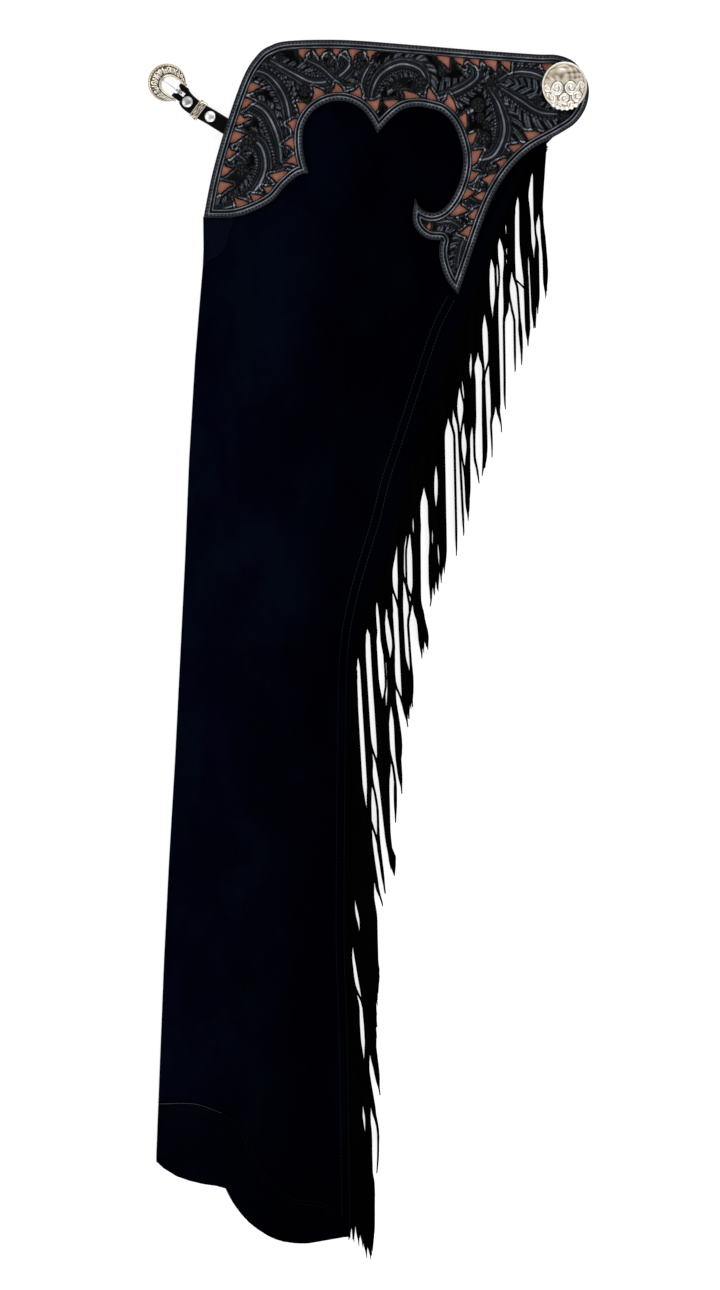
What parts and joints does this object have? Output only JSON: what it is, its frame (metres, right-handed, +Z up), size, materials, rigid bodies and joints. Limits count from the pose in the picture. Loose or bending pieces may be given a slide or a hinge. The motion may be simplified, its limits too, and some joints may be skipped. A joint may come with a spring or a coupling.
{
  "type": "folded pair of fringed western show chaps",
  "caption": "Pair of suede show chaps folded flat, with tooled leather yoke, silver concho, buckle strap and long side fringe.",
  "frame": {"origin": "centre of the bounding box on the surface that the chaps lie on", "axes": "+Y along the legs towards the waist, +X towards the outer seam and its fringe, +Z up out of the surface"},
  "size_m": [0.3617, 1.0009, 0.0197],
  "materials": {
    "suede_black": "matt napped suede",
    "suede_trim": "matt suede, worn slightly lighter",
    "tooled_black_leather": "carved and stamped, satin",
    "brown_inlay_leather": "smooth, matt",
    "engraved_silver": "engraved, polished",
    "plated_steel": "plated, polished"
  },
  "bodies": {
    "chaps": {"leg_panel": "suede_black", "hem_band": "suede_trim", "front_facing": "suede_trim", "seam_flap": "suede_black", "fringe": "suede_black", "hidden_leg": "suede_black", "hidden_fringe": "suede_black", "yoke_inlay": "brown_inlay_leather", "yoke_overlay": "tooled_black_leather", "concho": "engraved_silver", "buckle_strap": "tooled_black_leather", "snap_front": "plated_steel", "snap_back": "plated_steel", "keeper": "engraved_silver"},
    "buckle": {"buckle_frame": "engraved_silver"},
    "tongue": {"buckle_tongue": "plated_steel"}
  },
  "joints": [
    {"name": "buckle_turn", "type": "hinge", "parent": "chaps", "child": "buckle", "pos_m": [-0.1548, 0.4588, 0.0036], "axis": [0.5934, 0.8049, 0], "range_deg": [0, 75]},
    {"name": "tongue_swing", "type": "hinge", "parent": "buckle", "child": "tongue", "pos_m": [-0.1548, 0.4588, 0.0036], "axis": [0.5934, 0.8049, 0], "range_deg": [0, 60]}
  ]
}
